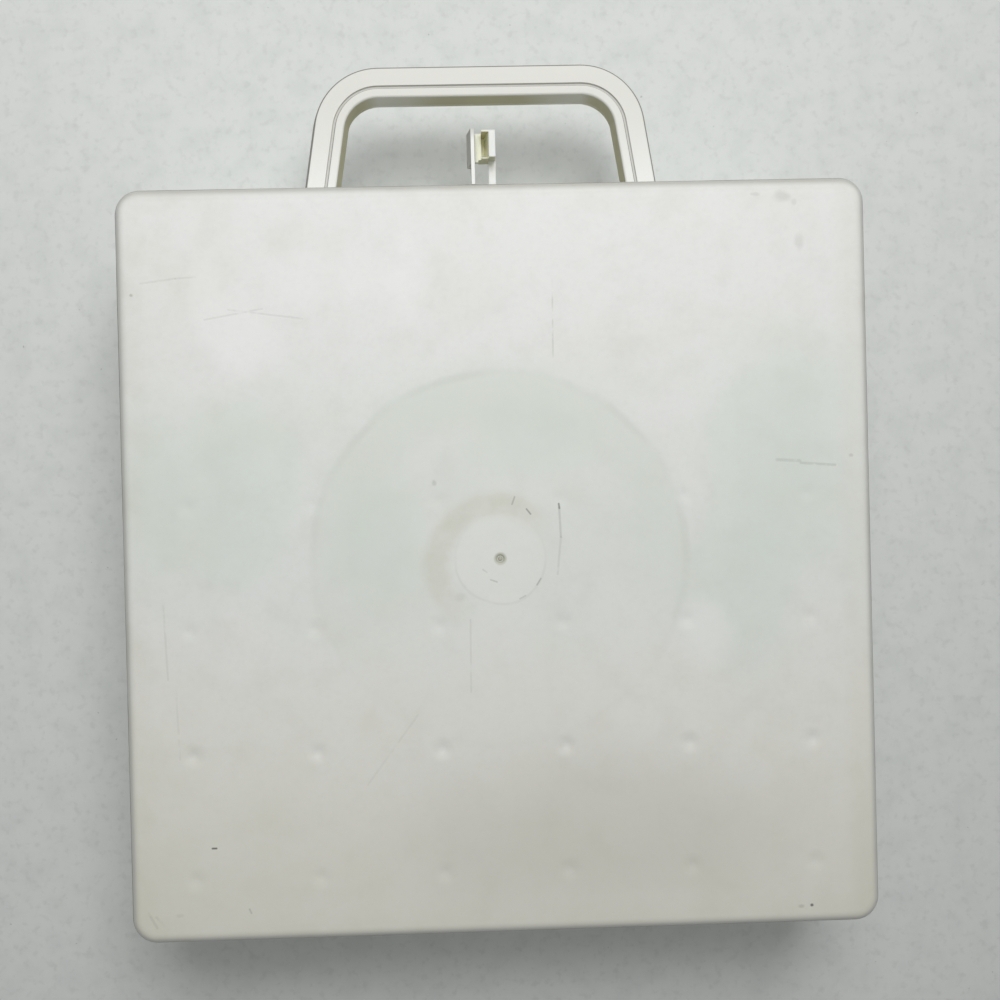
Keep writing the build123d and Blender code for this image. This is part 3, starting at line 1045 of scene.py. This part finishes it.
@dataclass(frozen=True)
class PaleTable:
    """A pale laminate table top, printed and pressed.

    The print gives the eye two sizes of faint mottle and a few grey specks, and the pressed surface is
    matt, so the case's shadow has no shine in it.
    """

    colour: str = "D5D8D5"

    def build(self, name: str) -> bpy.types.Material:
        """The table's material.

        Args:
            name: The material's name.
        Returns:
            The material.
        """
        surface = Surface(name, self.colour, 0.7)
        surface.tint("CBCFCC", surface.ramp(surface.noise(11.0, 4.0), 0.4, 0.7, 0.0, 0.55))
        surface.tint("BDC0BD", surface.ramp(surface.noise(3.5, 3.0, seed=4.0), 0.5, 0.75, 0.0, 0.4))
        speck = surface.ramp(surface.noise(2.2, 1.0, seed=9.0), 0.80, 0.86)
        surface.tint("8B8C8A", speck, 0.5)
        return surface.done()


@dataclass(frozen=True)
class Finishes:
    """The finishes that the pieces share."""

    face: bpy.types.Material
    handle: bpy.types.Material
    catch: bpy.types.Material
    hook: bpy.types.Material
    plastic: bpy.types.Material
    steel: bpy.types.Material


# ---------------------------------------------------------------- the case


@dataclass(frozen=True)
class CaseSizes:
    """Sizes that both trays share, in millimetres."""

    half_side: float = 134.0
    corner_radius: float = 9.5
    tray_depth: float = 44.5
    draft: float = radians(1.0)
    face_edge_radius: float = 4.0
    band_proud: float = 1.2
    band_depth: float = 8.5
    band_chamfer: float = 0.6
    seam_chamfer: float = 0.35
    wall: float = 2.2
    floor: float = 2.4
    floor_chamfer: float = 1.6

    @property
    def band_half(self) -> float:
        """Half the case's side over the band."""
        return self.half_side + self.band_proud

    def wall_half(self, height: float) -> float:
        """Half the case's side over the drafted wall, at a height over the seam."""
        return self.half_side - height * tan(self.draft)


class Rim(Enum):
    """How a tray's rim meets the other's."""

    TONGUE = "tongue"
    REBATE = "rebate"


@dataclass
class Tray:
    """One half of the case: a square tray with a rounded face edge, a band round its rim and sink marks."""

    side: Side
    rim: Rim
    gate: bool
    material: bpy.types.Material
    sizes: CaseSizes = field(default_factory=CaseSizes)
    corner_segments: int = 16
    edge_segments: int = 8
    tongue_half: float = 132.8
    tongue_depth: float = 2.5
    tongue_round: float = 0.2
    rebate_half: float = 133.1
    rebate_depth: float = 2.9
    sink_pitch: float = 44.0
    sink_shift: tuple[float, float] = (0.0, -1.0)
    sink_radius: float = 5.0
    sink_steps: tuple[tuple[float, float], ...] = ((1.2, -0.08), (1.2, -0.28), (1.2, -0.4), (0.9, -0.24))
    sink_depths: tuple[float, ...] = (0.44, 0.68, 0.36, 0.2, 0.05, 0.04)
    face_margin: float = 2.3
    gate_radius: float = 2.6
    gate_steps: tuple[tuple[float, float], ...] = (
        (0.75, 0.0),
        (0.35, -0.2),
        (0.4, -0.35),
        (0.35, 0.0),
        (0.1, 0.25),
        (0.15, 0.08),
    )
    gate_clearing: float = 6.0
    round_sides: int = 24

    def outline(self, name: str, facing: int) -> Workpiece:
        """The band's outline as one face.

        Args:
            name: What the piece is called.
            facing: 1 where the face looks away from the seam, -1 where it looks at it.
        Returns:
            The face, in edit mode and selected.
        """
        half = self.sizes.band_half
        piece = Workpiece.plate(name, 2 * half, 2 * half, (0, 0, self.sizes.seam_chamfer))
        piece.edit_all()
        radius = self.sizes.corner_radius + self.sizes.band_proud
        bpy.ops.mesh.bevel(offset=radius * MM, segments=self.corner_segments, affect="VERTICES", profile=0.5)
        bpy.ops.mesh.select_all(action="SELECT")
        if facing < 0:
            bpy.ops.mesh.flip_normals()
        return piece

    def outer_profile(self) -> list[tuple[float, float]]:
        """The outside's profile.

        Returns:
            Half sides and heights, from the band's lower edge to the face.
        """
        size = self.sizes
        centre_height = size.tray_depth - size.face_edge_radius
        slant = size.face_edge_radius / cos(size.draft)
        centre = size.wall_half(centre_height) - slant
        points = [
            (size.band_half, size.seam_chamfer),
            (size.band_half, size.band_depth - size.band_chamfer),
            (size.band_half - size.band_chamfer, size.band_depth),
            (size.wall_half(size.band_depth), size.band_depth),
        ]
        radius = size.face_edge_radius
        for step in range(self.edge_segments + 1):
            angle = size.draft + (pi / 2 - size.draft) * step / self.edge_segments
            points.append((centre + radius * cos(angle), centre_height + radius * sin(angle)))
        return points

    def inner_profile(self) -> list[tuple[float, float]]:
        """The inside's profile.

        Returns:
            Half sides and heights, from the band's lower edge over the rim to the floor.
        """
        size = self.sizes
        points = [(size.band_half, size.seam_chamfer), (size.band_half - size.seam_chamfer, 0.0)]
        inside = size.half_side - size.wall
        if self.rim is Rim.TONGUE:
            tip = self.tongue_depth
            round_off = self.tongue_round
            points += [
                (self.tongue_half, 0.0),
                (self.tongue_half, round_off - tip),
                (self.tongue_half - round_off, -tip),
                (inside + round_off, -tip),
                (inside, round_off - tip),
                (inside, 0.0),
            ]
        else:
            ledge = inside - self.rebate_depth * tan(size.draft)
            points += [
                (self.rebate_half, 0.0),
                (self.rebate_half, self.rebate_depth),
                (ledge, self.rebate_depth),
            ]
        floor = size.tray_depth - size.floor
        wall_foot = floor - size.floor_chamfer
        points.append((inside - wall_foot * tan(size.draft), wall_foot))
        points.append((inside - floor * tan(size.draft) - size.floor_chamfer, floor))
        return points

    @staticmethod
    def follow(piece: Workpiece, points: Sequence[tuple[float, float]], facing: int) -> None:
        """Insets the selected face along a profile.

        Args:
            piece: The piece.
            points: Half sides and heights, each no wider than the one before.
            facing: 1 where the face looks away from the seam, -1 where it looks at it.
        """
        for (half_0, height_0), (half_1, height_1) in zip(points, points[1:]):
            piece.inset(half_0 - half_1, facing * (height_1 - height_0))

    def sink_cell(self, middle: Point) -> Workpiece:
        """One square of the face with a shallow round sink in its middle, at full depth.

        Args:
            middle: Where the sink is.
        Returns:
            The square, open round its edge.
        """
        cell = Workpiece.disc("sink_cell", self.sink_radius, self.round_sides, middle)
        cell.edit_all()
        for thickness, rise in self.sink_steps:
            cell.inset(thickness, rise)
        square = Workpiece.plate("sink_square", self.sink_pitch, self.sink_pitch, middle)
        square.edit_all()
        bpy.ops.mesh.delete(type="ONLY_FACE")
        bpy.ops.mesh.select_all(action="SELECT")
        bpy.ops.mesh.subdivide(number_cuts=5)
        square.leave()
        cell.take_in([square])
        cell.edit()
        cell.pick(Element.EDGE, lambda centre, edge: not edge.link_faces or edge.is_boundary)
        bpy.ops.mesh.bridge_edge_loops()
        cell.leave()
        return cell

    def sink_field(self) -> Workpiece:
        """The flat of the face, with a sink behind each peg, as deep as its row's are.

        Returns:
            A flat square, open round its edge.
        """
        face_height = self.sizes.tray_depth
        rows = len(self.sink_depths)
        first = -self.sink_pitch * (rows - 1) / 2
        middle = (first + self.sink_shift[0], first + self.sink_shift[1], face_height)
        flat = self.sink_cell(middle)
        for axis in range(2):
            offset = [0.0, 0.0, 0.0]
            offset[axis] = self.sink_pitch * MM
            flat.modify(
                "ARRAY",
                count=rows,
                use_relative_offset=False,
                use_constant_offset=True,
                constant_offset_displace=offset,
                use_merge_vertices=True,
                merge_threshold=0.01 * MM,
            )
        flat.edit()
        for row, depth in enumerate(self.sink_depths):
            row_y = middle[1] + row * self.sink_pitch

            def in_sink(centre: Vector, _: object) -> bool:
                """Whether a point lies below the face in this row."""
                return abs(centre.y - row_y) < 8 and centre.z < face_height - 0.001

            flat.pick(Element.VERTEX, in_sink)
            flat.scale((1, 1, depth), (0, 0, face_height))
        reach = self.sizes.wall_half(face_height) - self.sizes.face_edge_radius - self.face_margin
        for normal in FOUR_WAYS:
            flat.cut(Vector(normal) * reach, normal, drop=True)
        flat.leave()
        return flat

    def cut_gate(self, face: Workpiece) -> None:
        """Cuts a square out of the face's middle and puts the gate's dimple with its stub there.

        Args:
            face: The face's flat, which gets the gate.
        """
        half = self.gate_clearing

        def within(centre: Vector, reach: float) -> bool:
            """Whether a place is within a square about the middle."""
            return max(abs(centre.x), abs(centre.y)) < reach

        face.edit()
        for normal in FOUR_WAYS:
            face.cut(Vector(normal) * half, normal)
        face.pick(Element.FACE, lambda centre, _: within(centre, half))
        bpy.ops.mesh.delete(type="FACE")
        gate = Workpiece.disc("gate", self.gate_radius, self.round_sides, (0, 0, self.sizes.tray_depth))
        gate.edit_all()
        for thickness, rise in self.gate_steps:
            gate.inset(thickness, rise)
        gate.leave()
        face.take_in([gate])
        face.edit()
        face.pick(Element.EDGE, lambda centre, edge: edge.is_boundary and within(centre, half + 1))
        bpy.ops.mesh.fill(use_beauty=True)
        face.leave()

    def build(self, name: str, node: str) -> None:
        """Models the tray and gives it its place.

        Args:
            name: What the piece is called.
            node: The CAD node that it stands for.
        """
        size = self.sizes
        outside = self.outline(name, 1)
        self.follow(outside, self.outer_profile(), 1)
        bpy.ops.mesh.delete(type="FACE")
        face = self.sink_field()
        if self.gate:
            self.cut_gate(face)
        inside = self.outline("inside", -1)
        self.follow(inside, self.inner_profile(), -1)
        inside.leave()
        outside.take_in([face, inside])
        outside.edit()
        outside.pick(
            Element.EDGE, lambda centre, edge: edge.is_boundary and abs(centre.z - size.tray_depth) < 0.01
        )
        bpy.ops.mesh.fill(use_beauty=True)
        outside.mend()
        outside.put_on(self.side, size.tray_depth)
        outside.smooth()
        outside.finish(self.side.value, IVORY_SLOT, self.material, [node])


@dataclass
class CarryHandle:
    """One half of the carry handle: a ribbed channel, open at the seam, grooved along its outer face."""

    side: Side
    material: bpy.types.Material
    sizes: CaseSizes = field(default_factory=CaseSizes)
    centre_x: float = -2.6
    base_half: float = 68.0
    reach: float = 50.5
    lean: float = radians(8.9)
    outer_radius: float = 25.5
    bar_width: float = 13.6
    half_depth: float = 8.0
    draft: float = radians(9.0)
    wall: float = 2.2
    groove_inset: float = 8.05
    groove_width: float = 1.1
    groove_depth: float = 0.8
    edge_round: float = 0.7
    rib_thickness: float = 1.4
    rib_pitch: float = 22.0
    leg_rib_height: float = 18.0
    corner_steps: int = 18
    foot_sunk: float = 4.0

    @property
    def root_y(self) -> float:
        """Where the case's band ends and the handle starts."""
        return self.sizes.band_half

    @property
    def top_y(self) -> float:
        """The handle's outer edge."""
        return self.root_y + self.reach

    @property
    def corner_centre(self) -> tuple[float, float]:
        """The middle of the left corner's arcs.

        Returns:
            Its place along X and Y.
        """
        centre_y = self.top_y - self.outer_radius
        rise = centre_y - self.root_y
        centre_x = self.centre_x - self.base_half + rise * tan(self.lean) + self.outer_radius / cos(self.lean)
        return centre_x, centre_y

    def inset_at(self, place: Vector) -> float:
        """How far a point lies inside the handle's outline.

        Args:
            place: A point on the handle.
        Returns:
            The distance from the outline, in millimetres.
        """
        corner_x, corner_y = self.corner_centre
        x = self.centre_x - abs(place.x - self.centre_x)
        if x >= corner_x:
            return self.top_y - place.y
        across = (corner_x - x) * cos(self.lean) + (place.y - corner_y) * sin(self.lean)
        along = (place.y - corner_y) * cos(self.lean) - (corner_x - x) * sin(self.lean)
        if along > 0:
            return self.outer_radius - Vector((x - corner_x, place.y - corner_y)).length
        return self.outer_radius - across

    def section(self) -> Workpiece:
        """The bar's cross-section, under the left leg's foot.

        Returns:
            The section, in edit mode and selected.
        """
        foot_y = self.root_y - self.foot_sunk
        outer_x = self.centre_x - self.base_half + (foot_y - self.root_y) * tan(self.lean)
        across = Vector((cos(self.lean), -sin(self.lean), 0))
        origin = Vector((outer_x, foot_y, 0))
        middle = origin + across * self.bar_width / 2 + Vector((0, 0, self.half_depth / 2))
        turn = (pi / 2, 0, -self.lean)
        piece = Workpiece.plate("handle_half", self.bar_width, self.half_depth, middle, turn)
        piece.edit()
        piece.pick(Element.VERTEX, lambda centre, _: centre.z > self.half_depth - 0.1)
        narrowed = 1 - 2 * self.half_depth * tan(self.draft) / self.bar_width
        piece.scale((narrowed, narrowed, 1), middle)
        bpy.ops.mesh.bevel(offset=self.edge_round * MM, segments=4, affect="VERTICES", profile=0.5)
        for inset in (self.groove_inset, self.groove_inset + self.groove_width):
            piece.cut(origin + across * inset, across)
        bpy.ops.mesh.select_mode(type="FACE")
        bpy.ops.mesh.select_all(action="SELECT")
        return piece

    def sweep(self) -> Workpiece:
        """The section swept up the left leg, along the bar and down the right leg.

        Returns:
            The solid bar, cut off just inside the case's band.
        """
        piece = self.section()
        corner_x, corner_y = self.corner_centre
        up = Vector((sin(self.lean), cos(self.lean), 0))
        foot_y = self.root_y - self.foot_sunk
        leg_top_y = corner_y + self.outer_radius * sin(self.lean)
        leg = (leg_top_y - foot_y) / cos(self.lean)
        turn = pi / 2 - self.lean
        bar = 2 * (self.centre_x - corner_x)
        piece.extrude(up * leg)
        piece.spin(turn, self.corner_steps, (corner_x, corner_y, 0), (0, 0, 1))
        piece.extrude((bar, 0, 0))
        piece.spin(turn, self.corner_steps, (corner_x + bar, corner_y, 0), (0, 0, 1))
        piece.extrude(Vector((up.x, -up.y, 0)) * leg)
        piece.cut((0, self.root_y - 0.4, 0), (0, -1, 0), drop=True, fill=True)
        piece.mend()
        return piece

    def carve(self, piece: Workpiece) -> None:
        """Cuts the groove in the outer face and the channel in the seam's side.

        Args:
            piece: The solid bar, in edit mode.
        """
        groove_far = self.groove_inset + self.groove_width

        def on_groove(centre: Vector, face: object) -> bool:
            """Whether a face is a stretch of the groove."""
            inset = self.inset_at(centre)
            return face.normal.z > 0.9 and self.groove_inset - 0.05 < inset < groove_far + 0.05

        piece.pick(Element.FACE, on_groove)
        piece.inset(0.12, -self.groove_depth)
        piece.pick(Element.FACE, lambda centre, face: face.normal.z < -0.9 and centre.z < 0.1)
        piece.inset(self.wall)
        piece.inset(self.half_depth * tan(self.draft) / 2, self.wall - self.half_depth)
        piece.leave()

    def ribs(self) -> list[Workpiece]:
        """The cross ribs in the channel.

        Returns:
            Three ribs in the bar and one in each leg.
        """
        # each rib starts just inside the open side and reaches a little into the walls and the floor
        low = 0.15
        rib_depth = self.half_depth - self.wall + 0.3
        near = self.wall - 0.5
        far = self.bar_width - near
        length = far - near
        ribs = []
        for index in (-1, 0, 1):
            centre = (self.centre_x + index * self.rib_pitch, self.top_y - (near + far) / 2, low)
            ribs.append(Workpiece.plate("bar_rib", self.rib_thickness, length, centre))
        height = self.leg_rib_height
        for sign in (-1, 1):
            across = (near + far) / 2 / cos(self.lean)
            x = self.centre_x + sign * (self.base_half - height * tan(self.lean) - across)
            centre = (x, self.root_y + height, low)
            ribs.append(Workpiece.plate("leg_rib", length / cos(self.lean), self.rib_thickness, centre))
        for rib in ribs:
            rib.edit_all()
            rib.extrude((0, 0, rib_depth - low))
            rib.mend()
            rib.leave()
        return ribs

    def build(self, name: str, node: str) -> None:
        """Models the half and gives it its place.

        Args:
            name: What the piece is called.
            node: The CAD node that it stands for.
        """
        piece = self.sweep()
        self.carve(piece)
        piece.take_in(self.ribs())
        piece.rename(name)
        piece.soften(0.25, 38.0)
        piece.put_on(self.side, self.sizes.tray_depth)
        piece.smooth(32.0)
        piece.finish(self.side.value, IVORY_SLOT, self.material, [node])


@dataclass
class SpoolPegs:
    """The pegs that stand on a tray's floor, a row to a piece."""

    side: Side
    material: bpy.types.Material
    sizes: CaseSizes = field(default_factory=CaseSizes)
    count: int = 6
    pitch: float = 44.0
    shift_y: float = -1.0
    radius: float = 3.0
    length: float = 30.0
    tip_length: float = 2.4
    tip_radius: float = 1.6
    root_flare: float = 0.6
    sunk: float = 0.3
    round_sides: int = 24

    def peg(self) -> Workpiece:
        """One peg, hanging from the floor at the middle of the case.

        Returns:
            The peg, drawn with its foot just inside the floor.
        """
        floor = self.sizes.tray_depth - self.sizes.floor
        tip_height = floor - self.length
        shaft = self.length - self.tip_length + self.sunk
        foot = (0, 0, tip_height + self.tip_length)
        piece = Workpiece.rod("peg", self.radius, shaft, self.round_sides, foot)
        piece.edit()
        for height in (floor - 1.1, floor - 0.4):
            piece.cut((0, 0, height), (0, 0, 1))
        for low, high, flare in ((floor - 0.6, floor - 0.1, 0.35), (floor - 0.1, floor + 1, 1.0)):
            piece.pick(Element.VERTEX, lambda centre, _: low < centre.z < high)
            wider = 1 + self.root_flare * flare / self.radius
            piece.scale((wider, wider, 1), (0, 0, 0))
        piece.pick(Element.FACE, lambda centre, face: face.normal.z < -0.9)
        piece.inset(self.radius - self.tip_radius, self.tip_length)
        piece.leave()
        piece.soften(0.5, 25.0, 3)
        piece.smooth()
        return piece

    def build(self, name: str, node: str) -> None:
        """Models the rows and gives them their places.

        Args:
            name: What the rows are called, before their numbers.
            node: What the CAD nodes are called, before their numbers.
        """
        peg = self.peg()
        middle = (self.count - 1) / 2
        for row in range(self.count):
            y = self.shift_y + (row - middle) * self.pitch
            places = [((column - middle) * self.pitch, y, 0) for column in range(self.count)]
            pegs = [peg.copy("peg_copy", place) for place in places]
            whole = pegs[0]
            whole.take_in(pegs[1:])
            whole.rename(f"{name}_{row + 1}")
            whole.put_on(self.side, self.sizes.tray_depth)
            whole.finish(self.side.value, IVORY_SLOT, self.material, [f"{node}_{row + 1}"])
        bpy.data.objects.remove(peg.object)


@dataclass(frozen=True)
class Fitting:
    """A small moulded or turned piece, rounded from its CAD solid."""

    name: str
    node: str
    body: str
    slot: str
    edge_round: float

    def build(self, material: bpy.types.Material) -> None:
        """Models the piece and gives it its place.

        Args:
            material: Its material.
        """
        piece = Workpiece.from_node(self.name, self.node)
        piece.soften(self.edge_round)
        piece.smooth()
        piece.finish(self.body, self.slot, material, [self.node])


@dataclass(frozen=True)
class Fittings:
    """The hinges and the latch."""

    moulded: tuple[Fitting, ...] = (
        Fitting("back_hinge_knuckles", "base_hinge_knuckles", "base", IVORY_SLOT, 0.3),
        Fitting("front_hinge_knuckles", "lid_hinge_knuckles", "lid", IVORY_SLOT, 0.3),
        Fitting("back_latch_catch", "base_latch_catch", "base", IVORY_SLOT, 0.2),
        Fitting("front_latch_lugs", "lid_latch_lugs", "lid", IVORY_SLOT, 0.2),
        Fitting("swinging_latch_hook", "latch_hook", "hook", IVORY_SLOT, 0.15),
    )
    drawn: tuple[Fitting, ...] = (
        Fitting("left_hinge_pin", "hinge_pin_left", "base", STEEL_SLOT, 0.12),
        Fitting("right_hinge_pin", "hinge_pin_right", "base", STEEL_SLOT, 0.12),
        Fitting("latch_hook_pin", "latch_pin", "lid", STEEL_SLOT, 0.1),
    )

    def build(self, finishes: Finishes) -> None:
        """Models every fitting.

        Args:
            finishes: The materials.
        """
        for fitting in self.moulded:
            worn = {"base_latch_catch": finishes.catch, "latch_hook": finishes.hook}
            fitting.build(worn.get(fitting.node, finishes.plastic))
        for fitting in self.drawn:
            fitting.build(finishes.steel)


# ---------------------------------------------------------------- studio


@dataclass(frozen=True)
class Studio:
    """A pale table, soft light from the far side and a camera nearly straight above.

    The camera's place and the table are in millimetres, the window in metres and watts.
    """

    focal_length: float = 55.3104
    sensor: float = 36.0
    camera_place: Point = (-16.5043, 25.1811, 633.3251)
    camera_turn: Point = (-0.007232, -0.03122, -0.024366)
    table_size: float = 6000.0
    table_height: float = -0.3
    window_size: tuple[float, float] = (0.8, 0.8)
    window_place: Point = (0.1, 0.72, 1.18)
    window_aim: Point = (-0.04, 0.29, 0.0)
    window_spread: float = radians(66.0)
    window_level: float = 2.42
    world_level: float = 0.31

    def build(self) -> None:
        """Makes the table, the light, the room and the camera."""
        self.lay_table()
        self.hang_window()
        self.light_room()
        self.set_camera()
        bpy.context.scene.view_settings.view_transform = "Standard"

    def lay_table(self) -> None:
        """Lays the table just under the case, so that their faces don't meet."""
        table = Workpiece.plate("table", self.table_size, self.table_size, (0, 0, self.table_height))
        table.edit_all()
        bpy.ops.mesh.subdivide(number_cuts=8)
        table.leave()
        table.object.data.materials.append(PaleTable().build("pale_laminate_table"))

    def hang_window(self) -> None:
        """Hangs one large soft lamp beyond the handle, which lights the case from there."""
        window = bpy.data.lights.new("window", "AREA")
        window.shape = "RECTANGLE"
        window.size, window.size_y = self.window_size
        window.spread = self.window_spread
        window.energy = self.window_level
        lamp = bpy.data.objects.new("window", window)
        lamp.location = self.window_place
        lamp.rotation_euler = (Vector(self.window_aim) - lamp.location).to_track_quat("-Z", "Y").to_euler()
        bpy.context.scene.collection.objects.link(lamp)

    def light_room(self) -> None:
        """Gives the room an even white light."""
        world = bpy.data.worlds.new("plain_room")
        bpy.context.scene.world = world
        world.use_nodes = True
        background = world.node_tree.nodes["Background"]
        background.inputs["Color"].default_value = linear("FFFFFF")
        background.inputs["Strength"].default_value = self.world_level

    def set_camera(self) -> None:
        """Sets the camera over the case, a little off the middle."""
        lens = bpy.data.cameras.new("camera")
        lens.sensor_width = self.sensor
        lens.lens = self.focal_length
        camera = bpy.data.objects.new("camera", lens)
        camera.location = Vector(self.camera_place) * MM
        camera.rotation_euler = self.camera_turn
        bpy.context.scene.collection.objects.link(camera)
        bpy.context.scene.camera = camera


def main() -> None:
    """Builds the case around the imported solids."""
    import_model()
    plastic = MouldedPolypropylene()
    latch = LatchPlaces()
    finishes = Finishes(
        face=plastic.build_face("moulded_polypropylene_face", FlowMarks()),
        handle=plastic.build_handle("moulded_polypropylene_handle", HandlePlaces()),
        catch=plastic.build_catch("moulded_polypropylene_catch", latch),
        hook=plastic.build_hook("moulded_polypropylene_hook", latch),
        plastic=plastic.build("moulded_polypropylene"),
        steel=DrawnSteel().build("drawn_steel_wire"),
    )
    Tray(Side.BACK, Rim.TONGUE, False, finishes.plastic).build("back_tray", "base_shell")
    Tray(Side.FRONT, Rim.REBATE, True, finishes.face).build("front_tray", "lid_shell")
    CarryHandle(Side.BACK, finishes.handle).build("back_handle_half", "base_handle_half")
    CarryHandle(Side.FRONT, finishes.handle).build("front_handle_half", "lid_handle_half")
    SpoolPegs(Side.BACK, finishes.plastic).build("back_peg_row", "base_peg_row")
    SpoolPegs(Side.FRONT, finishes.plastic).build("front_peg_row", "lid_peg_row")
    Fittings().build(finishes)
    Studio().build()


if __name__ == "__main__":
    main()
